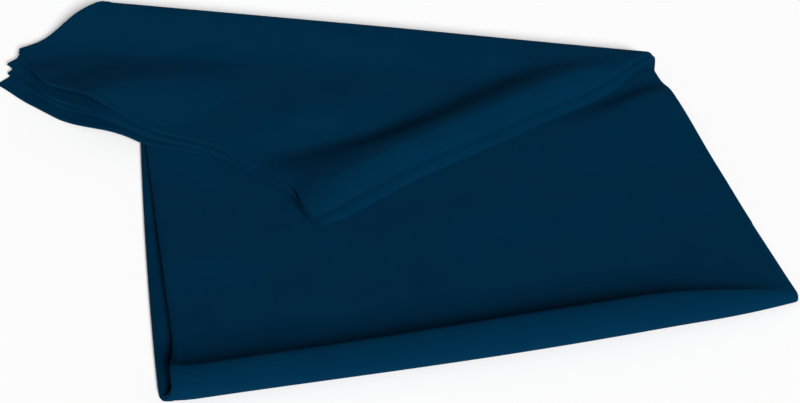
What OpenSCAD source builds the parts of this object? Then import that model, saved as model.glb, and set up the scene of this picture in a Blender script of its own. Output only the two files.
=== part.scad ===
// Quick dry towel, folded in four, with one corner turned over.
// Frame: X runs along the rolled front fold to the right, Y runs away from it, Z is up.
// The origin lies on the underside, in the middle of the part that is a full rectangle.

/* [Cloth] */
// width of the open towel, hem to hem
towel_w = 800; // [680:10:1000]
// length of the open towel, hem to hem
towel_l = 1300; // [1080:10:1560]
// room that one layer of the soft cloth takes up in the stack
cloth_t = 1.5; // [1.2:0.1:1.8]
// width of the overlocked hem
hem_w = 3; // [2:0.5:5]

/* [Folds] */
// height of the soft roll along the front
roll_h = 22; // [18:1:28]
// how far back the roll reaches before the layers lie flat
roll_run = 42; // [36:1:54]
// how far the two lower layers stick out on the left, at the back
left_step = 6; // [2:0.5:9]

/* [Turned corner] */
// distance from the front to where the crease meets the right side
crease_right = 316; // [270:1:360]
// distance from the front to where the crease meets the left side
crease_left = 528; // [480:1:535]
// space inside the crease, between the stack and the flap
crease_gap = 9; // [7:0.5:11]
// height of the flap's two rolled side folds at its free corner
ridge_h = 18; // [14:0.5:20]
// the same height beside the crease
ridge_low_h = 9; // [8:0.5:10]
// width of the ridge that those folds make
ridge_run = 48; // [40:1:58]

/* [Hidden] */
$fn = 96;
layers = 4;
fold_w = towel_w / 2;
fold_l = towel_l / 2;
stack_h = layers * cloth_t;
body_clear = 0.4;
fold_slit = 0.3;
crease_v = [-fold_w, crease_left - crease_right];
crease_u = crease_v / norm(crease_v);
crease_n = [crease_u[1], -crease_u[0]];
crease_ang = atan2(crease_n[1], crease_n[0]);
axis_z = stack_h + crease_gap / 2;
flap_z = stack_h + crease_gap;
flap_reach = (flap_end(1) - crease_right) * crease_n[1];
flap_tilt = asin((crease_gap - 1.5 * body_clear) / flap_reach);
edge_u = [0, 1] - 2 * crease_n[1] * crease_n;
edge_in = -([1, 0] - 2 * crease_n[0] * crease_n);
edge_slant = (crease_u * edge_u) / (crease_u * edge_in);
steps = 10;
ridge_full = flap_end(layers) - crease_right - 2 * hem_w;

// the crease's place on the left to right line x, moved outwards by off
function crease_y(x, off = 0) =
  crease_left + (crease_right - crease_left) * x / fold_w + off / crease_n[1];
// a point of the open cloth beyond the crease, turned over onto the stack
function turned(p) = p - 2 * ((p - [fold_w, crease_right]) * crease_n) * crease_n;
// the two lower layers are the outermost two in the crease and the upper two on the flap
function step_of(from_bottom) = from_bottom <= 2 ? left_step : 0;
function ease(f) = f * f * (3 - 2 * f);
function along(a, b, f) = a + (b - a) * f;

// Outline of one cloth layer that runs in along low_in, swells to a round edge at x = 0
// between the heights low and high, and runs out along high_in at x = -run. Its inner side
// is drawn in a little, so that the two ends never quite close on each other.
function fold_outline(low_in, low, high, high_in, run) =
  let (
    r = (high - low) / 2, h = cloth_t / 2, x0 = -(r + h), mid = (low + high) / 2,
    g = h - fold_slit / 2,
    lower = [for (i = [0:steps]) let (f = i / steps)
      [along(-run, x0, f), along(low_in, low, ease(f))]],
    upper = [for (i = [0:steps]) let (f = i / steps)
      [along(x0, -run, f), along(high, high_in, ease(f))]]
  )
  concat(
    [for (p = lower) p - [0, h]],
    [for (i = [1:steps - 1]) let (a = -90 + 180 * i / steps)
      [x0, mid] + (r + h) * [cos(a), sin(a)]],
    [for (p = upper) p + [0, h]],
    [for (i = [steps:-1:0]) upper[i] - [0, g]],
    [for (i = [steps - 1:-1:1]) let (a = -90 + 180 * i / steps)
      [x0, mid] + (r - g) * [cos(a), sin(a)]],
    [for (i = [steps:-1:0]) lower[i] + [0, g]]
  );

module placed() translate([-fold_w / 2, -crease_right / 2, 0]) children();
module cloth() color([0.0, 0.07, 0.14]) children();
module thread() color([0.02, 0.11, 0.19]) children();
module slab(points, z) translate([0, 0, z]) linear_extrude(cloth_t) polygon(points);

// ---- the stack: four layers, counted from the bottom ----
module stack_panel(level) {
  s = step_of(level);
  right = fold_w - cloth_t;
  placed() cloth() slab([
    [hem_w, roll_run], [right, roll_run],
    [right, crease_y(right)], [hem_w - s, crease_y(hem_w - s)]
  ], (level - 1) * cloth_t);
}

module stack_hem(level) {
  s = step_of(level);
  placed() thread() slab([
    [0, roll_run], [hem_w, roll_run],
    [hem_w - s, crease_y(hem_w - s)], [-s, crease_y(-s)]
  ], (level - 1) * cloth_t);
}

// the roll's outer layer joins the bottom and top panels, the inner one the other two
function roll_outline(nest) =
  let (
    low = (nest + 0.5) * cloth_t, high_in = (layers - nest - 0.5) * cloth_t,
    shape = fold_outline(low, low, roll_h - low, high_in, roll_run - nest * cloth_t)
  )
  [for (p = shape) [nest * cloth_t - p[0], p[1]]];

module roll(nest, from, to)
  translate([from, 0, 0]) rotate([90, 0, 90]) linear_extrude(to - from)
    polygon(roll_outline(nest));

module front_fold(nest) placed() cloth() roll(nest, hem_w, fold_w - cloth_t);
module front_fold_hem(nest) placed() thread() roll(nest, 0, hem_w);

// The fold down the right side: two solid half rounds, and the strip that joins them
// around the front roll.
module side_fold(pair)
  placed() cloth()
    translate([fold_w - cloth_t, crease_right, (2 * pair - 1) * cloth_t])
      rotate([90, 0, 0]) linear_extrude(crease_right - roll_run) intersection() {
        circle(r = cloth_t);
        translate([0, -cloth_t]) square([cloth_t, 2 * cloth_t]);
      }

module side_fold_front() placed() cloth()
  for (nest = [0, 0.5, 1]) roll(nest, fold_w - cloth_t, fold_w);

// ---- the crease: four nested half pipes, counted from the inside ----
module crease_bend(ring) {
  s = step_of(layers + 1 - ring);
  start = [-s, crease_y(-s)];
  inner = crease_gap / 2 + (ring - 1) * cloth_t;
  placed() cloth() translate([start[0], start[1], axis_z]) rotate([90, 0, crease_ang])
    linear_extrude(norm([fold_w, crease_right] - start)) intersection() {
      difference() {
        circle(r = inner + cloth_t);
        circle(r = inner);
      }
      translate([0, -50]) square([50, 100]);
    }
}

// ---- the flap: four layers, counted from the stack upwards ----
module on_flap() placed()
  translate([fold_w, crease_right, flap_z]) rotate([0, 0, crease_ang])
    rotate([0, -flap_tilt, 0]) rotate([0, 0, -crease_ang])
      translate([-fold_w, -crease_right, -flap_z]) children();

// going round the crease shortens each layer, and the upper ones most
function flap_end(level) = fold_l - PI * (crease_gap / 2 + (level - 0.5) * cloth_t);

module flap_panel(level) {
  left = hem_w - step_of(layers + 1 - level);
  right = fold_w - ridge_run;
  far = flap_end(level) - hem_w;
  on_flap() cloth() slab([for (p = [
    [left, crease_y(left, body_clear)], [right, crease_y(right, body_clear)],
    [right, far], [left, far]
  ]) turned(p)], flap_z + (level - 1) * cloth_t);
}

module flap_hem(level) {
  left = -step_of(layers + 1 - level);
  right = fold_w - ridge_run;
  far = flap_end(level);
  on_flap() thread() slab([for (p = [
    [left, crease_y(left, body_clear)],
    [left + hem_w, crease_y(left + hem_w, body_clear)],
    [left + hem_w, far - hem_w], [right, far - hem_w], [right, far], [left, far]
  ]) turned(p)], flap_z + (level - 1) * cloth_t);
}

// the ridge along the flap's edge: its height grows with the distance from the crease
function ridge_at(d) =
  along(ridge_low_h, ridge_h, min(1, d / ridge_full));

function ridge_outline(upper, d) =
  let (
    h = cloth_t / 2, half = ridge_at(d) / 2,
    low_in = upper ? 5 * h : h, high_in = upper ? 7 * h : 3 * h,
    low = upper ? half + h : h, high = upper ? 2 * half - h : half - h
  )
  fold_outline(low_in, low, high, high_in, ridge_run);

// beside the crease the ridge is cut along it, and at the hem square to the edge
function ridge_loop(upper, d) =
  let (
    slant = edge_slant * max(0, 1 - d / ridge_full),
    at = [fold_w, crease_right] + edge_u * d
  )
  [for (p = ridge_outline(upper, d))
    let (q = at - (edge_in + edge_u * slant) * p[0]) [q[0], q[1], flap_z + p[1]]];

module ridge(upper, from, to) {
  cuts = max(1, round((to - from) / 40));
  loops = [for (i = [0:cuts]) ridge_loop(upper, along(from, to, i / cuts))];
  m = len(loops[0]);
  polyhedron(
    points = [for (loop = loops) for (p = loop) p],
    faces = concat(
      [[for (j = [0:m - 1]) j]],
      [[for (j = [m - 1:-1:0]) cuts * m + j]],
      [for (i = [0:cuts - 1]) for (j = [0:m - 1]) let (k = (j + 1) % m)
        [i * m + j, (i + 1) * m + j, (i + 1) * m + k]],
      [for (i = [0:cuts - 1]) for (j = [0:m - 1]) let (k = (j + 1) % m)
        [i * m + j, (i + 1) * m + k, i * m + k]]
    )
  );
}

function ridge_start() = body_clear / crease_n[1];
function ridge_end(upper) = flap_end(upper ? 3.5 : 1.5) - crease_right;

module flap_side_fold(upper) on_flap() cloth()
  ridge(upper, ridge_start(), ridge_end(upper) - hem_w);
module flap_side_hem(upper) {
  at = [fold_w, crease_right] + edge_u * (ridge_end(upper) - hem_w);
  on_flap() thread() translate([at[0], at[1], flap_z])
    rotate([90, 0, atan2(-edge_in[1], -edge_in[0])]) linear_extrude(hem_w)
      polygon(ridge_outline(upper, fold_l));
}

stack_panel(1);  // lower_outer_panel
stack_panel(2);  // lower_inner_panel
stack_panel(3);  // upper_inner_panel
stack_panel(4);  // upper_outer_panel
front_fold(0);  // front_fold_outer
front_fold(1);  // front_fold_inner
side_fold(1);  // side_fold_lower
side_fold(2);  // side_fold_upper
side_fold_front();
stack_hem(1);  // lower_outer_hem
stack_hem(2);  // lower_inner_hem
stack_hem(3);  // upper_inner_hem
stack_hem(4);  // upper_outer_hem
front_fold_hem(0);  // front_fold_outer_hem
front_fold_hem(1);  // front_fold_inner_hem
crease_bend(1);  // crease_bend_1
crease_bend(2);  // crease_bend_2
crease_bend(3);  // crease_bend_3
crease_bend(4);  // crease_bend_4
flap_panel(1);  // flap_panel_1
flap_panel(2);  // flap_panel_2
flap_panel(3);  // flap_panel_3
flap_panel(4);  // flap_panel_4
flap_hem(1);  // flap_hem_1
flap_hem(2);  // flap_hem_2
flap_hem(3);  // flap_hem_3
flap_hem(4);  // flap_hem_4
flap_side_fold(false);  // flap_side_fold_lower
flap_side_fold(true);  // flap_side_fold_upper
flap_side_hem(false);  // flap_side_hem_lower
flap_side_hem(true);  // flap_side_hem_upper
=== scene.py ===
import math
import bpy
import mathutils
import numpy as np
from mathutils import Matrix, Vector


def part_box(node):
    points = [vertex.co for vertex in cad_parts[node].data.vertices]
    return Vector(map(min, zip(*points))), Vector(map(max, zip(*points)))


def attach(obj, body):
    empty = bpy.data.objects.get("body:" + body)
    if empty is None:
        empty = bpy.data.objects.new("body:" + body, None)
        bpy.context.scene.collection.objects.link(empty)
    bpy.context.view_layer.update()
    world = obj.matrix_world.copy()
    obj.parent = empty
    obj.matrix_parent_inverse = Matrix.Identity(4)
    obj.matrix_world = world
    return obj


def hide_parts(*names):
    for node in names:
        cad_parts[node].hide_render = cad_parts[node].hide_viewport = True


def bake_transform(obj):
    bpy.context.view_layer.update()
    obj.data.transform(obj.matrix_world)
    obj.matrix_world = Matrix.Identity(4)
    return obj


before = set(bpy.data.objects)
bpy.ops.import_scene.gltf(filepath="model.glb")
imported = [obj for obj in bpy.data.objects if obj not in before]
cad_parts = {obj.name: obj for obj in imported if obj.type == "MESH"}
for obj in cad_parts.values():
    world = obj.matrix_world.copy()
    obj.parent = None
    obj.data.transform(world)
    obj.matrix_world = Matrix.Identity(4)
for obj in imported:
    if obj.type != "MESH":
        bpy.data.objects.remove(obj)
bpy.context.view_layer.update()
print("stage: frame loaded")

# the folded cloth, in mm
towel = {
    "halfWidth": 400.0, "halfLength": 650.0,
    "clothThick": 1.05, "layerPitch": 1.5,  # cloth, and cloth plus the air between layers
    "sidePuff": 0.3,  # how much the pressed side folds swell
    "rightGive": 2.2,  # the side folds stand a little past the cut size
    "rightGiveFront": 1.2, "giveLength": 150.0,  # and a little more near the front
}
crease = {"rightAt": 316.0, "leftAt": 528.0, "axisHeight": 10.5, "backBulge": 1.5, "backBulgeRight": 1.6}

half = towel["halfWidth"]
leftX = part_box("front_fold_outer_hem")[0][0]
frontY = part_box("front_fold_outer")[0][1]
creaseRight = np.array([half, crease["rightAt"]])
creaseLeft = np.array([0.0, crease["leftAt"]])
creaseDir = (creaseLeft - creaseRight) / np.linalg.norm(creaseLeft - creaseRight)
creaseOut = np.array([creaseDir[1], -creaseDir[0]])  # away from the front
pitch = towel["layerPitch"]
lowMid, topMid = 0.5 * pitch, 3.5 * pitch


def ease(f):
    f = np.clip(f, 0.0, 1.0)
    return f * f * (3.0 - 2.0 * f)


def soft(f):
    f = np.clip(f, 0.0, 1.0)
    return f * f * f * (f * (6.0 * f - 15.0) + 10.0)


def bump(x, centre, spread):
    return np.exp(-((x - centre) / spread) ** 2)


def hill(x, y, at, spread):
    return bump(x, at[0], spread[0]) * bump(y, at[1], spread[1])


def creaseY(x):
    return crease["leftAt"] + (crease["rightAt"] - crease["leftAt"]) * x / half


def wave(x, y, seed, size):  # gentle seeded undulation, about -1 to 1
    rng = np.random.default_rng(seed)
    total = 0.0
    for k in range(5):
        turn = rng.uniform(0, 2 * math.pi)
        length = size * rng.uniform(0.7, 1.6)
        along = (x * math.cos(turn) + y * math.sin(turn)) * 2 * math.pi / length
        total = total + np.sin(along + rng.uniform(0, 6.28))
    return total / 3.0


# x of the folded cloth, and its share of the way round the side fold, for a fold this thick
def sideShape(s, gap):
    r = gap / 2.0
    a = math.pi / 2.0 * r
    theta = np.clip((s - half) / r, -math.pi / 2, math.pi / 2)
    x = np.where(s < half - a, s * (half - r) / (half - a),
                 np.where(s > half + a, (2 * half - s) * (half - r) / (half - a),
                          half - r + r * np.cos(theta)))
    return x, (1.0 + np.sin(theta)) / 2.0


stackLook = {
    "lowHemFront": -2.0, "lowHemBack": 8.0, "hemTurn": 330.0, "lowHemCurve": 1.6,  # the lower pair's left hem
    "topHemFront": 6.5, "topHemBack": 11.0, "topHemFrom": 60.0,  # the upper pair's left hem
    "swell": 1.7, "swellRise": 60.0, "creaseHold": 45.0,  # soft air in the upper pair
    "frontAir": 5.0, "airLength": 190.0,  # air between the pairs, behind the roll
    "airLossFrom": 300.0,  # and less of it towards the right
    "besideCrease": 6.5, "besideAt": (352.0, 252.0), "besideSpread": (85.0, 60.0),
    "ridgeTurn": 31.0, "dipWidth": 34.0,  # pressed down next to the ridge
    "dipFrom": 30.0, "dipLength": 120.0,
}
dents = [  # small marks pressed in the top layer
    {"at": (66.0, 96.0), "spread": (9.0, 12.0), "depth": 0.7},
    {"at": (80.0, 142.0), "spread": (14.0, 10.0), "depth": 0.5},
    {"at": (48.0, 205.0), "spread": (9.0, 12.0), "depth": 0.4},
    {"at": (90.0, 172.0), "spread": (12.0, 8.0), "depth": 0.5},
]


# where a left hem lies in x: it wanders from front to back, and is true again at the crease
def hemRun(y, front, back):
    at = stackLook["hemTurn"]
    return np.where(y < at, front + (back - front) * np.clip(y / at, 0, 1) ** stackLook["lowHemCurve"],
                    back * (1 - ease((y - at) / (crease["leftAt"] - 15 - at))))


# air between the two pairs just behind the front roll
def frontAir(x):
    return stackLook["frontAir"] * (1 - 0.5 * ease((x - stackLook["airLossFrom"]) / 100))


frontRoll = {
    "height": 21.5, "middleRise": 2.2, "middleAt": 235.0, "middleSpread": 110.0,
    "wide": 1.06,  # it is a little wider than it is high
    "rightLoss": 0.62, "taperFrom": 300.0,  # lower towards the right
    "forward": 5.6, "bowOut": 6.0, "bowSkew": 1.25, "bowFullness": 1.3,  # how the front line runs
    "cornerRound": 6.5, "rightCorner": 60.0, "leftCorner": 20.0,
    "backRun": 0.10, "tail": 46.0, "tailCurve": 1.15, "flatFrom": 88.0,  # the slope behind the roll
}


# y and z of the outer layer's middle round the front, v from 0 at the bottom to 1 at the top
def rollProfile(x, v):
    look = frontRoll
    high = look["height"] + look["middleRise"] * bump(x, look["middleAt"], look["middleSpread"])
    taper = np.clip((x - look["taperFrom"]) / (half - look["taperFrom"]), 0, 1)
    high = high * (1 - look["rightLoss"] * taper ** 2)
    r = (high - 2 * lowMid) / 2.0
    drop = high - lowMid - topMid - frontAir(x)
    tail = look["tail"] * np.clip(drop / 10.0, 0.6, 1.05)
    run = look["backRun"] * high
    lo, hi = np.full(x.shape, 0.05), np.full(x.shape, 1.35)
    u = np.linspace(0, 1, 41)
    for _ in range(30):  # the back slope's steepest angle, so that the fold ends level with the layers
        beta = (lo + hi) / 2
        bend = np.trapz(np.sin(beta[..., None] * (1 - u) ** look["tailCurve"]), u, axis=-1)
        got = r * (1 - np.cos(beta)) + run * np.sin(beta) + tail * bend
        lo, hi = np.where(got < drop, beta, lo), np.where(got < drop, hi, beta)
    flat = look["flatFrom"]
    wide = look["wide"]
    yc, zc = r * wide + 0.6, high / 2.0
    # v at the ends of each stretch: underneath, nose, crest, straight slope, foot, flat
    marks = np.array([0.0, 0.16, 0.58, 0.68, 0.74, 0.93, 1.0])
    f = [(v - marks[k]) / (marks[k + 1] - marks[k]) for k in range(6)]
    turn = -math.pi / 2 - np.clip(f[1], 0, 1) * math.pi
    y = np.where(v < marks[1], flat + (yc - flat) * f[0], yc + wide * r * np.cos(turn))
    z = np.where(v < marks[1], lowMid, zc + r * np.sin(turn))
    b = beta * np.clip(f[2], 0, 1)
    y, z = np.where(f[2] > 0, yc + r * np.sin(b), y), np.where(f[2] > 0, zc + r * np.cos(b), z)
    g = np.clip(f[3], 0, 1) * run
    y, z = np.where(f[3] > 0, y + g * np.cos(beta), y), np.where(f[3] > 0, z - g * np.sin(beta), z)
    q = np.clip(f[4], 0, 1)
    ang = beta[..., None] * (1 - u * q[..., None]) ** look["tailCurve"]
    y = np.where(f[4] > 0, y + tail * q * np.trapz(np.cos(ang), u, axis=-1), y)
    z = np.where(f[4] > 0, z - tail * q * np.trapz(np.sin(ang), u, axis=-1), z)
    y = np.where(f[5] > 0, y + (flat - y) * np.clip(f[5], 0, 1), y)
    return np.stack([y, z], -1)


# how far the top layer stands above its pressed height: soft air, and dents
def stackSwell(x, y):
    look = stackLook
    away = (creaseRight[0] - x) * creaseOut[0] + (creaseRight[1] - y) * creaseOut[1]
    fade = ease((y - frontRoll["flatFrom"]) / look["swellRise"]) * ease(away / look["creaseHold"])
    turn = math.radians(look["ridgeTurn"])
    inX, inY = half - x, crease["rightAt"] - y  # in from the crease's right end
    along = inX * math.cos(turn) + inY * math.sin(turn)
    across = inY * math.cos(turn) - inX * math.sin(turn)
    dip = ease(1 - across / look["dipWidth"]) * ease(1 - (along - look["dipFrom"]) / look["dipLength"])
    air = look["swell"] * (1 + 0.30 * wave(x, y, 11, 230) + 0.08 * wave(x, y, 5, 90))
    air = air + look["besideCrease"] * hill(x, y, look["besideAt"], look["besideSpread"])
    for dent in dents:
        air = air - dent["depth"] * hill(x, y, dent["at"], dent["spread"])
    behindRoll = frontAir(x) * (1 - ease((y - frontRoll["flatFrom"]) / look["airLength"]))
    return fade * air * (1 - dip) + behindRoll


# section is bottom, roll or top; v runs from 0 to 1 along each
def stackPoint(s, v, section):
    gap = pitch + towel["sidePuff"]
    x, share = sideShape(s, gap)
    flat = frontRoll["flatFrom"]
    if section == "roll":
        p = rollProfile(x, v)
        q = rollProfile(x, np.clip(v + 1e-3, 0, 1)) - rollProfile(x, np.clip(v - 1e-3, 0, 1))
        t = q / np.linalg.norm(q, axis=-1, keepdims=True)
        y = p[..., 0] + t[..., 1] * gap * share
        z = p[..., 1] - t[..., 0] * gap * share
        lower = 1.0 - ease((v - 0.14) / 0.3)
    elif section == "bottom":
        y = creaseY(x) + (flat - creaseY(x)) * v
        z = lowMid + gap * share + 0 * y
        lower = np.ones_like(y)
    else:
        y = flat + (creaseY(x) - flat) * v
        z = topMid - gap * share + 0 * y
        lower = np.zeros_like(y)
    z = z + stackSwell(x, y) * (section == "top")
    look = stackLook
    shift = lower * hemRun(y, look["lowHemFront"], look["lowHemBack"])
    front = look["topHemFront"] + (look["topHemBack"] - look["topHemFront"]) * ease(y / look["topHemFrom"])
    shift = shift + (1 - lower) * np.where(y < look["hemTurn"], front, hemRun(y, 0, look["topHemBack"]))
    near = ease(1 - y / (flat + 40))
    roll = frontRoll
    belly = np.sin(np.clip(x / half, 0, 1) ** roll["bowSkew"] * math.pi) ** roll["bowFullness"]
    corners = np.clip(1 - (half - x) / roll["rightCorner"], 0, 1) ** 2
    corners = corners + 0.5 * np.clip(1 - x / roll["leftCorner"], 0, 1) ** 2
    bow = roll["cornerRound"] * corners - roll["bowOut"] * belly - roll["forward"]
    give = towel["rightGive"] + towel["rightGiveFront"] * ease(1 - y / towel["giveLength"])
    x = x + shift * np.clip(1 - x / half, 0, 1) ** 2 + give * ease(x / half * 2 - 1)
    return x, y + bow * near, z, share


ridge = {
    "lower": 5.5, "upper": 8.0, "lowerAtHem": 3.0, "upperAtHem": 7.0,  # swelling of its two side folds
    "crestIn": 15.0, "crestInAtHem": 24.0,  # in from the folded edge
    "fall": 61.0, "fallMoreAtHem": 34.0, "fallHemReach": 120.0,
    "hemReach": 46.0, "startLength": 45.0, "noseShare": 0.5,
}


# swelling of the flap's side folds, 0 to 1, at e from the folded edge and w from the hem
def ridgeShape(e, w):
    look = ridge
    crest = look["crestInAtHem"] + (look["crestIn"] - look["crestInAtHem"]) * ease(w / look["hemReach"])
    rise = look["noseShare"] + (1 - look["noseShare"]) * np.sin(np.clip(e / crest, 0, 1) * math.pi / 2)
    fall = look["fall"] + look["fallMoreAtHem"] * (1 - ease(w / look["fallHemReach"]))
    return np.where(e < crest, rise, 1 - ease((e - crest) / fall))


flap = {
    "settleLength": 62.0,  # down from the crease to the pack
    "dropFrom": 8.0, "dropLength": 73.3,  # and over the pack's left side down to the table
    "edgeOutAtCrease": 10.0, "edgeInAtHem": 11.0, "drawInFrom": 60.0, "drawInLength": 160.0,
    "cornerIn": 6.0, "upperPairIn": 4.0, "leftHemOut": 4.0, "tipLift": 3.0,
    "humpHeight": 23.5, "humpFrom": 58.0, "humpLength": 88.0,  # a fold of loose cloth near the left hem
    "humpFull": 140.0, "humpLess": 0.72, "humpEnd": 260.0,
    "humpShares": (0.05, 0.38, 0.52, 1.0),  # how much of it each layer takes, from the lowest up
}
flapHems = {  # how far the end hems lie out from a straight cut
    "topBulge": 26.0, "topRise": 100.0, "topEnd": 155.0, "topEndLength": 120.0,
    "topPinch": 4.0, "topPinchAt": 325.0, "topPinchSpread": 35.0,
    "topCorner": 13.0, "topCornerFrom": 360.0,
    "lowBulge": 20.0, "lowLoss": 0.6, "lowLossFrom": 95.0, "lowTuck": 18.0, "lowTuckFrom": 185.0,
    "lowCorner": 11.0, "lowCornerFrom": 340.0,
    "tipFan": 19.0, "tipFanWidth": 130.0, "tipBlunt": (0.0, 3.0, 1.0, 6.0), "tipBluntSize": 16.0,
}


# height that the flap's lowest layer rests at: on the stack, or down on the table
def support(x, y):
    on = topMid + stackSwell(x, y) + pitch
    return on + (lowMid - on) * soft((flap["dropFrom"] - x) / flap["dropLength"])


# how far an end hem lies out, upShare from 0 for the lowest layer to 1 for the top one
def endHemOut(x, upShare):
    look = flapHems
    top = look["topBulge"] * ease(x / look["topRise"])
    top = top * (1 - ease((x - look["topEnd"]) / look["topEndLength"]))
    top = top - look["topPinch"] * bump(x, look["topPinchAt"], look["topPinchSpread"])
    top = top + look["topCorner"] * ease((x - look["topCornerFrom"]) / (half - look["topCornerFrom"]))
    low = look["lowBulge"] * (0.85 + 0.15 * ease(x / 50))
    low = low * (1 - look["lowLoss"] * ease((x - look["lowLossFrom"]) / 95))
    low = low - look["lowTuck"] * ease((x - look["lowTuckFrom"]) / 60)
    low = low + look["lowCorner"] * ease((x - look["lowCornerFrom"]) / (half - look["lowCornerFrom"]))
    return low + (top - low) * upShare


# the fold of loose cloth near the flap's left hem
def flapHump(x, past):
    across = ease((x - 5) / 60) * (1 - flap["humpLess"] * ease((x - flap["humpFull"]) / 85))
    across = across * (1 - ease((x - flap["humpEnd"]) / 70))
    rise = 0.6 * ease((past - flap["humpFrom"]) / flap["humpLength"])
    rise = rise + 0.4 * np.clip((past - flap["humpFrom"] - 4) / (flap["humpLength"] - 8), 0, 1)
    return flap["humpHeight"] * across * rise


# part is crease or flap, pair is outer or inner; f runs from 0 at the stack outwards
def turnOver(s, f, part, pair):
    gap = pitch + towel["sidePuff"]
    if part == "flap":
        full = ridge["upper"] if pair == "outer" else ridge["lower"]
        atHem = ridge["upperAtHem"] if pair == "outer" else ridge["lowerAtHem"]
        grown = full * ease(f * 5) + (atHem - full) * ease((f - 0.8) / 0.2)
        gap = gap + ridge["noseShare"] * np.maximum(grown, 0)
    x, share = sideShape(s, gap)
    zFlat = lowMid + (pitch + towel["sidePuff"]) * share
    zFlat = zFlat if pair == "outer" else 4 * pitch - zFlat
    rho = crease["axisHeight"] - zFlat
    turn = math.pi * rho
    level = 3.0 - share if pair == "outer" else share
    k = x / half
    leftPush = ease(1 - x / 60)
    if part == "crease":
        phi = math.pi * f
        d = turn * f
        foot = np.stack([x, creaseY(x) + d / creaseOut[1]], -1) - creaseOut * d[..., None]
        up = ease(f)
        edge = towel["rightGive"] + (flap["edgeOutAtCrease"] - towel["rightGive"]) * up
        side = mirrored(edge * ease(k * 2 - 1), up)
        out = rho + (crease["backBulge"] + crease["backBulgeRight"] * k) * np.sin(phi) ** 2
        place = foot + creaseOut * (out * np.sin(phi))[..., None] + side
        z = crease["axisHeight"] - out * np.cos(phi)
        return place[..., 0], place[..., 1], z, share
    dEnd = (towel["halfLength"] - creaseY(x)) * creaseOut[1]
    past = (dEnd - turn) * f
    d = turn + past
    # the flap is drawn in along its folded edge and bulges along its hem
    w = (towel["halfLength"] - creaseY(x)) * (1 - f)
    drawn = ease((past - flap["drawInFrom"]) / flap["drawInLength"])
    edge = flap["edgeOutAtCrease"] - (flap["edgeOutAtCrease"] + flap["edgeInAtHem"]) * drawn
    edge = edge - flap["cornerIn"] * ease(1 - w / 22)
    if pair == "outer":
        edge = edge - flap["upperPairIn"] * ease(past / 160)
    upShare = np.clip(level / 3, 0, 1)
    size = flapHems["tipBluntSize"]
    blunt = np.interp(level, range(4), flapHems["tipBlunt"]) * ease(1 - x / size) * ease(1 - w / size)
    hemOut = endHemOut(x, upShare) - blunt
    fan = flapHems["tipFan"] * (1 - upShare) ** 0.8 * ease(1 - x / flapHems["tipFanWidth"])
    leftOut = flap["leftHemOut"] * leftPush * (0.05 + 0.95 * f ** 3)
    dx = blunt + edge * ease(k * 2 - 1) + fan * f ** 2 - leftOut
    dy = hemOut * f ** 2
    foot = np.stack([x, creaseY(x) + d / creaseOut[1]], -1) - creaseOut * d[..., None]
    place = foot - creaseOut * past[..., None] + mirrored(dx, 1.0) + mirroredY(dy)
    px, py = place[..., 0], place[..., 1]
    e = (half - x)
    puff = ridgeShape(e, w) * ease(past / ridge["startLength"])
    nearHem = 1 - ease(w / ridge["hemReach"])
    low = ridge["lower"] + (ridge["lowerAtHem"] - ridge["lower"]) * nearHem
    high = ridge["upper"] + (ridge["upperAtHem"] - ridge["upper"]) * nearHem
    rest = support(px, py)
    start = 2 * crease["axisHeight"] - topMid
    lift = (start - rest) * (1 - soft(past / flap["settleLength"])) * (1 - 0.8 * puff)
    humpShare = np.interp(level, range(4), flap["humpShares"])
    loose = ease((past - 20) / 60) * (0.5 * wave(px, py, 21, 190) + 0.5)
    loose = loose * (1 - 0.8 * ease(1 - w / 40) * ease((x - 190) / 60))
    tip = flap["tipLift"] * ease(1 - x / 90) * f ** 2
    z = rest + lift + pitch * level + flapHump(x, past) * humpShare + (loose + tip) * upShare
    droop = 1 - 0.6 * ease(1 - w / 12)  # the raw edge drops onto the layer below
    z = z + puff * droop * (low * np.clip(level, 0, 1) + high * np.clip(level - 2, 0, 1))
    return px, py, z, share


# a move along the flat towel's x, as it lies once turned over (turned 0 to 1)
def mirrored(dx, turned):
    across = np.array([1.0, 0.0])
    flipped = across - 2 * creaseOut[0] * creaseOut
    turned = np.asarray(turned)[..., None]
    return np.asarray(dx)[..., None] * (across * (1 - turned) + flipped * turned)


def mirroredY(dy):
    flipped = np.array([0.0, 1.0]) - 2 * creaseOut[1] * creaseOut
    return np.asarray(dy)[..., None] * flipped


# columns run across the open towel, rows along it
hemSteps = np.array([0.0, 1.5, 3.0, 4.5, 6.0])
leftCols = np.concatenate([hemSteps, np.linspace(6, 336, 54)[1:], np.linspace(336, 391, 23)[1:],
                           np.linspace(391, 400, 11)[1:]])
cols = np.concatenate([leftCols, (2 * half - leftCols)[::-1][1:]])


def stackGrid(name, count):
    s, v = np.meshgrid(cols, np.linspace(0, 1, count))
    return np.stack(stackPoint(s, v, name)[:3], -1)


def turnedGrid(part, pair, shares):
    s, v = np.meshgrid(cols, shares)
    return np.stack(turnOver(s, v, part, pair)[:3], -1)


# rows of the flap as shares of its length, close together at the hem
def flapRows(count):
    middleLength = 230.0
    near = 1 - hemSteps[1:] / middleLength
    return np.concatenate([np.linspace(0, near[-1], count), near[::-1][1:], [1.0]])


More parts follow.
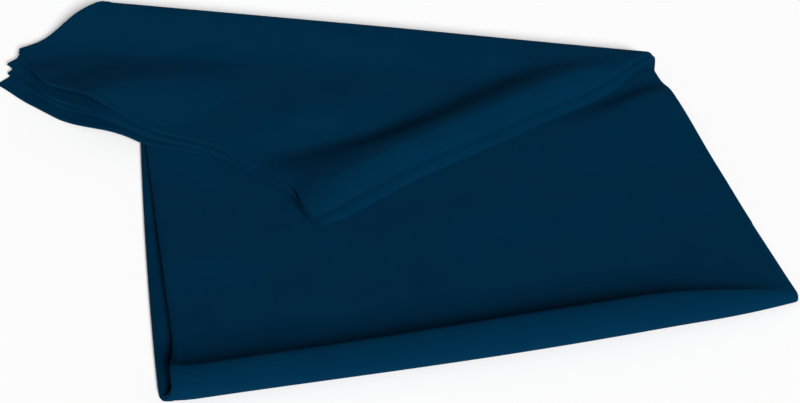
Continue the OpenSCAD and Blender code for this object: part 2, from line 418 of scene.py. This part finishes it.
rowsFlap, rowsCrease = flapRows(62), np.linspace(0, 1, 19)
parts = [
    ("flapUpperPair", turnedGrid("flap", "outer", rowsFlap[::-1])),
    ("creaseOuterPair", turnedGrid("crease", "outer", rowsCrease[::-1])),
    ("stackBottom", stackGrid("bottom", 66)),
    ("stackRoll", stackGrid("roll", 84)),
    ("stackTop", stackGrid("top", 90)),
    ("creaseInnerPair", turnedGrid("crease", "inner", rowsCrease)),
    ("flapLowerPair", turnedGrid("flap", "inner", rowsFlap)),
]
chain, spans, at = [], {}, 0
for name, grid in parts:  # neighbours share one row
    keep = grid if not chain else grid[1:]
    spans[name] = (at if not chain else at - 1, at + len(keep) - 1)
    at += len(keep)
    chain.append(keep)
mid = np.concatenate(chain)
mid = mid * 0.001
mid[..., 0] += leftX
mid[..., 1] += frontY
print("stage: cloth laid out,", mid.shape)

normal = np.cross(np.gradient(mid, axis=1), np.gradient(mid, axis=0))
normal /= np.maximum(np.linalg.norm(normal, axis=-1, keepdims=True), 1e-12)
stepRow = np.linalg.norm(np.diff(mid, axis=0), axis=-1)
rowPlace = np.concatenate([[0], np.cumsum(np.median(stepRow, axis=1))])


def newPiece(name, points, faces):
    mesh = bpy.data.meshes.new(name)
    mesh.from_pydata(points.tolist(), [], faces)
    mesh.polygons.foreach_set("use_smooth", np.ones(len(faces), bool))
    mesh.update()
    piece = bpy.data.objects.new(name, mesh)
    bpy.context.collection.objects.link(piece)
    return piece


# a closed sheet of cloth from a run of rows
def clothPiece(name, first, last):
    p, n = mid[first:last + 1], normal[first:last + 1]
    rows, count = p.shape[:2]
    t = towel["clothThick"] / 2000.0
    verts = np.concatenate([(p + n * t).reshape(-1, 3), (p - n * t).reshape(-1, 3)])
    norms = np.concatenate([n.reshape(-1, 3), -n.reshape(-1, 3)])
    r, c = np.meshgrid(np.arange(rows - 1), np.arange(count - 1), indexing="ij")
    a = (r * count + c).ravel()
    quads = np.stack([a, a + 1, a + count + 1, a + count], -1)
    low = quads[:, ::-1] + rows * count
    edge = np.concatenate([np.arange(count), np.arange(1, rows) * count + count - 1,
                           (rows - 1) * count + np.arange(count - 2, -1, -1),
                           np.arange(rows - 2, 0, -1) * count])
    nxt = np.roll(edge, -1)
    rim = np.stack([edge, edge + rows * count, nxt + rows * count, nxt], -1)
    faces = np.concatenate([quads, low, rim])
    piece = newPiece(name, verts, faces.tolist())
    mesh = piece.data
    uv = mesh.uv_layers.new(name="clothLay")
    sGrid, tGrid = np.meshgrid(cols * 0.001, rowPlace[first:last + 1])
    flatUv = np.stack([sGrid, tGrid], -1).reshape(-1, 2)
    flatUv = np.concatenate([flatUv, flatUv])
    loops = np.zeros(len(mesh.loops), np.int32)
    mesh.loops.foreach_get("vertex_index", loops)
    uv.data.foreach_set("uv", flatUv[loops].ravel())
    mesh.normals_split_custom_set_from_vertices(norms.tolist())
    return piece


stack = clothPiece("foldedStack", spans["stackBottom"][0], spans["stackTop"][1])
creaseOuter = clothPiece("creaseOuterPair", *spans["creaseOuterPair"])
creaseInner = clothPiece("creaseInnerPair", *spans["creaseInnerPair"])
flapUpper = clothPiece("flapUpperPair", *spans["flapUpperPair"])
flapLower = clothPiece("flapLowerPair", *spans["flapLowerPair"])
print("stage: cloth pieces made")

# overlocked hems
hem = {
    "pitch": 2.5, "reach": 6.0,  # one stitch, and how far it reaches in
    "bed": 0.10, "thread": 0.42, "slant": 0.9, "samples": 6,
}


# places and facings hold five points in from the raw edge, for each step along the hem
def hemBand(name, places, facings):
    length = np.concatenate([[0], np.cumsum(np.linalg.norm(np.diff(places[:, 0], axis=0), axis=-1))])
    total = length[-1] * 1000.0
    count = max(8, int(total / hem["pitch"] * hem["samples"]))
    u = np.linspace(0, total, count)
    src = length * 1000.0

    def pick(g):
        return np.stack([np.stack([np.interp(u, src, g[:, k, a]) for a in range(3)], -1)
                         for k in range(g.shape[1])], 1)

    p, n = pick(places), pick(facings)
    n /= np.linalg.norm(n, axis=-1, keepdims=True)
    out = p[:, 0] - p[:, 1]
    out /= np.linalg.norm(out, axis=-1, keepdims=True)
    t = towel["clothThick"] / 2000.0
    phase = 2 * math.pi * u / hem["pitch"]
    rings = []
    over = [(k, 1) for k in (4, 3, 2, 1, 0)]  # over the hem, round its edge and back under it
    for k, side in over + [("edge", 0)] + [(k, -side) for k, side in over[::-1]]:
        w = 0.0 if k == "edge" else hemSteps[k] / hem["reach"]
        loop = np.sqrt(np.abs(np.sin((phase + hem["slant"] * math.pi * w * (side or 1)) / 2)))
        high = (hem["bed"] + hem["thread"] * loop) * 0.001
        if k == "edge":
            rings.append(p[:, 0] + out * (t + high)[:, None])
        elif k == 4:
            rings.append(p[:, 4] + n[:, 4] * side * (t - 0.00025))
        else:
            grow = 1.0 if k < 3 else 0.85
            rings.append(p[:, k] + n[:, k] * side * (t + high * grow)[:, None])
    grid = np.stack(rings, 1)
    rows, cnt = grid.shape[:2]
    r, c = np.meshgrid(np.arange(rows - 1), np.arange(cnt), indexing="ij")
    a = (r * cnt + c).ravel()
    b = (r * cnt + (c + 1) % cnt).ravel()
    faces = np.stack([a, a + cnt, b + cnt, b], -1).tolist()
    faces.append(list(range(cnt)))
    faces.append(list(range((rows - 1) * cnt, rows * cnt))[::-1])
    return newPiece(name, grid.reshape(-1, 3), faces)


def sideHem(name, span, bSide):
    first, last = span
    pick = slice(0, 5) if not bSide else slice(-1, -6, -1)
    return hemBand(name, mid[first:last + 1, pick], normal[first:last + 1, pick])


def endHem(name, top):
    rows = slice(0, 5) if top else slice(-1, -6, -1)
    p, n = mid[rows].transpose(1, 0, 2), normal[rows].transpose(1, 0, 2)
    return hemBand(name, p, n)


stackSpan = (spans["stackBottom"][0], spans["stackTop"][1])
hems = {
    "stackOuterHem": sideHem("stackOuterHem", stackSpan, False),
    "stackInnerHem": sideHem("stackInnerHem", stackSpan, True),
}
for pairName in ("creaseOuter", "creaseInner", "flapUpper", "flapLower"):
    for hemSide in "AB":
        hemName = f"{pairName}Hem{hemSide}"
        hems[hemName] = sideHem(hemName, spans[f"{pairName}Pair"], hemSide == "B")
for pairName in ("flapUpper", "flapLower"):
    hemName = f"{pairName}EndHem"
    hems[hemName] = endHem(hemName, pairName == "flapUpper")
print("stage: hems sewn")

# materials
clothLook = {
    "Base": (0.0002, 0.0160, 0.0385, 1), "Deep": (0.0001, 0.0095, 0.0250, 1),
    "Rib Scale": 1100.0, "Nap Scale": 900.0, "bump": 0.35,
}
threadLook = {
    "Base": (0.0003, 0.0165, 0.0395, 1), "Deep": (0.0001, 0.0070, 0.0190, 1),
    "Rib Scale": 2600.0, "Nap Scale": 2200.0, "bump": 0.5,
}
fibre = {  # set alike on the cloth and the thread
    "Roughness": 0.95, "Diffuse Roughness": 0.6,
    "Specular IOR Level": 0.02, "Specular Tint": (0.1, 0.55, 1, 1),
    "Sheen Weight": 0.004, "Sheen Roughness": 0.5, "Sheen Tint": (0.02, 0.35, 0.75, 1),
}


def addNode(tree, kind, settings, **attributes):
    node = tree.nodes.new(kind)
    for name, value in attributes.items():
        setattr(node, name, value)
    for socket, value in settings.items():
        node.inputs[socket].default_value = value
    return node


napMix = {"rib": 0.45, "patch": 0.6, "tone": 0.5}  # ribs in the height, patches and nap in the colour


# brushed microfibre: mottled colour, and a fine height of ribs and nap
def napGroup():
    group = bpy.data.node_groups.new("brushedNap", "ShaderNodeTree")
    for name in ("Base", "Deep"):
        group.interface.new_socket(name, in_out="INPUT", socket_type="NodeSocketColor")
    for name in ("Rib Scale", "Nap Scale"):
        group.interface.new_socket(name, in_out="INPUT", socket_type="NodeSocketFloat")
    group.interface.new_socket("Color", in_out="OUTPUT", socket_type="NodeSocketColor")
    group.interface.new_socket("Height", in_out="OUTPUT", socket_type="NodeSocketFloat")
    link = group.links.new
    given = addNode(group, "NodeGroupInput", {})
    result = addNode(group, "NodeGroupOutput", {})
    place = addNode(group, "ShaderNodeTexCoord", {})
    nap = addNode(group, "ShaderNodeTexNoise", {"Detail": 4, "Roughness": 0.6})
    patch = addNode(group, "ShaderNodeTexNoise", {"Scale": 28, "Detail": 3})
    rib = addNode(group, "ShaderNodeTexWave", {"Distortion": 1.2, "Detail": 1, "Detail Scale": 1.5},
                  wave_type="BANDS", bands_direction="X")
    height = addNode(group, "ShaderNodeMath", {1: napMix["rib"]}, operation="MULTIPLY_ADD")
    patchShare = addNode(group, "ShaderNodeMath", {1: napMix["patch"]}, operation="MULTIPLY")
    tone = addNode(group, "ShaderNodeMath", {1: napMix["tone"]}, operation="MULTIPLY_ADD")
    mix = addNode(group, "ShaderNodeMix", {}, data_type="RGBA")
    link(place.outputs["Object"], nap.inputs["Vector"])
    link(given.outputs["Nap Scale"], nap.inputs["Scale"])
    link(place.outputs["Object"], patch.inputs["Vector"])
    link(place.outputs["UV"], rib.inputs["Vector"])
    link(given.outputs["Rib Scale"], rib.inputs["Scale"])
    link(rib.outputs["Fac"], height.inputs[0])
    link(nap.outputs["Fac"], height.inputs[2])
    link(height.outputs[0], result.inputs["Height"])
    link(patch.outputs["Fac"], patchShare.inputs[0])
    link(nap.outputs["Fac"], tone.inputs[0])
    link(patchShare.outputs[0], tone.inputs[2])
    link(tone.outputs[0], mix.inputs["Factor"])
    link(given.outputs["Deep"], mix.inputs[6])
    link(given.outputs["Base"], mix.inputs[7])
    link(mix.outputs[2], result.inputs["Color"])
    return group


nap = napGroup()


def fabric(name, look):
    material = bpy.data.materials.new(name)
    material.use_nodes = True
    tree = material.node_tree
    shader = tree.nodes["Principled BSDF"]
    group = tree.nodes.new("ShaderNodeGroup")
    group.node_tree = nap
    for socket in ("Base", "Deep", "Rib Scale", "Nap Scale"):
        group.inputs[socket].default_value = look[socket]
    relief = addNode(tree, "ShaderNodeBump", {"Strength": look["bump"], "Distance": 0.0003})
    tree.links.new(group.outputs["Height"], relief.inputs["Height"])
    tree.links.new(relief.outputs["Normal"], shader.inputs["Normal"])
    tree.links.new(group.outputs["Color"], shader.inputs["Base Color"])
    for socket, value in fibre.items():
        shader.inputs[socket].default_value = value
    return material


clothMaterial = fabric("microfibreNap", clothLook)
threadMaterial = fabric("overlockThread", threadLook)
for ob in (stack, creaseOuter, creaseInner, flapUpper, flapLower):
    ob.data.materials.append(clothMaterial)
for ob in hems.values():
    ob.data.materials.append(threadMaterial)
print("stage: materials")

# which body the stack and flap pieces move with; the crease pieces are left unparented
for ob in (stack, hems["stackOuterHem"], hems["stackInnerHem"]):
    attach(ob, "folded_stack")
for ob in (flapUpper, flapLower, *(hems[k] for k in hems if k.startswith("flap"))):
    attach(ob, "corner_flap")
for ob in (creaseOuter, creaseInner, *(hems[k] for k in hems if k.startswith("crease"))):
    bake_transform(ob)

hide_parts("lower_outer_panel", "lower_inner_panel", "upper_inner_panel", "upper_outer_panel",
            "front_fold_outer", "front_fold_inner", "side_fold_lower", "side_fold_upper", "side_fold_front")
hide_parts("lower_outer_hem", "upper_outer_hem", "front_fold_outer_hem")
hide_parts("lower_inner_hem", "upper_inner_hem", "front_fold_inner_hem")
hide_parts("crease_bend_1", "crease_bend_2")
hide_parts("crease_bend_3", "crease_bend_4")
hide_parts("flap_panel_1", "flap_panel_2", "flap_side_fold_lower")
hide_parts("flap_panel_3", "flap_panel_4", "flap_side_fold_upper")
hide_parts("flap_hem_1", "flap_hem_2", "flap_side_hem_lower")
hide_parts("flap_hem_3", "flap_hem_4", "flap_side_hem_upper")

# floor, light and camera
scene = bpy.context.scene
scene.view_settings.view_transform = "Standard"
studio = {
    "floorSize": 12.0, "floorDrop": 0.0005, "floorTone": 0.94, "floorRough": 0.9,
    "sun": 7.0, "sunSoftness": 14.0,
    "sunTurn": 6.0, "sunHeight": 24.0,  # from the front, a little to one side
    "sky": 0.14,
}
bpy.ops.mesh.primitive_plane_add(size=studio["floorSize"], location=(0, 0, -studio["floorDrop"]))
floor = bpy.context.object
floor.name = "floor"
floorMaterial = bpy.data.materials.new("paleFloor")
floorMaterial.use_nodes = True
floorShader = floorMaterial.node_tree.nodes["Principled BSDF"]
floorShader.inputs["Base Color"].default_value = (*[studio["floorTone"]] * 3, 1)
floorShader.inputs["Roughness"].default_value = studio["floorRough"]
floor.data.materials.append(floorMaterial)

sun = bpy.data.lights.new("frontSoft", "SUN")
sun.energy = studio["sun"]
sun.angle = math.radians(studio["sunSoftness"])
sunObject = bpy.data.objects.new("frontSoft", sun)
bpy.context.collection.objects.link(sunObject)
sunObject.rotation_euler = (math.radians(90 - studio["sunHeight"]), 0, math.radians(studio["sunTurn"]))
world = bpy.data.worlds.new("studioWorld")
scene.world = world
world.use_nodes = True
sky = world.node_tree.nodes["Background"]
sky.inputs["Color"].default_value = (1, 1, 1, 1)
sky.inputs["Strength"].default_value = studio["sky"]

cameraSet = {
    "place": (-0.1813, -1.1240, 0.7296), "yaw": 7.955, "down": 31.968, "roll": -4.209,
    "sensor": 36.0, "lens": 88.2,
}
yaw, down, roll = (math.radians(cameraSet[key]) for key in ("yaw", "down", "roll"))
ahead = np.array([math.sin(yaw) * math.cos(down), math.cos(yaw) * math.cos(down), -math.sin(down)])
right = np.array([math.cos(yaw), -math.sin(yaw), 0])
upward = np.cross(right, ahead)
camRight = math.cos(roll) * right + math.sin(roll) * upward
camUp = -math.sin(roll) * right + math.cos(roll) * upward
turnTo = mathutils.Matrix((camRight, camUp, -ahead)).transposed().to_4x4()
camData = bpy.data.cameras.new("camera")
camData.sensor_width = cameraSet["sensor"]
camData.lens = cameraSet["lens"]
cam = bpy.data.objects.new("camera", camData)
bpy.context.collection.objects.link(cam)
cam.matrix_world = mathutils.Matrix.Translation(cameraSet["place"]) @ turnTo
scene.camera = cam
print("stage: light and camera")
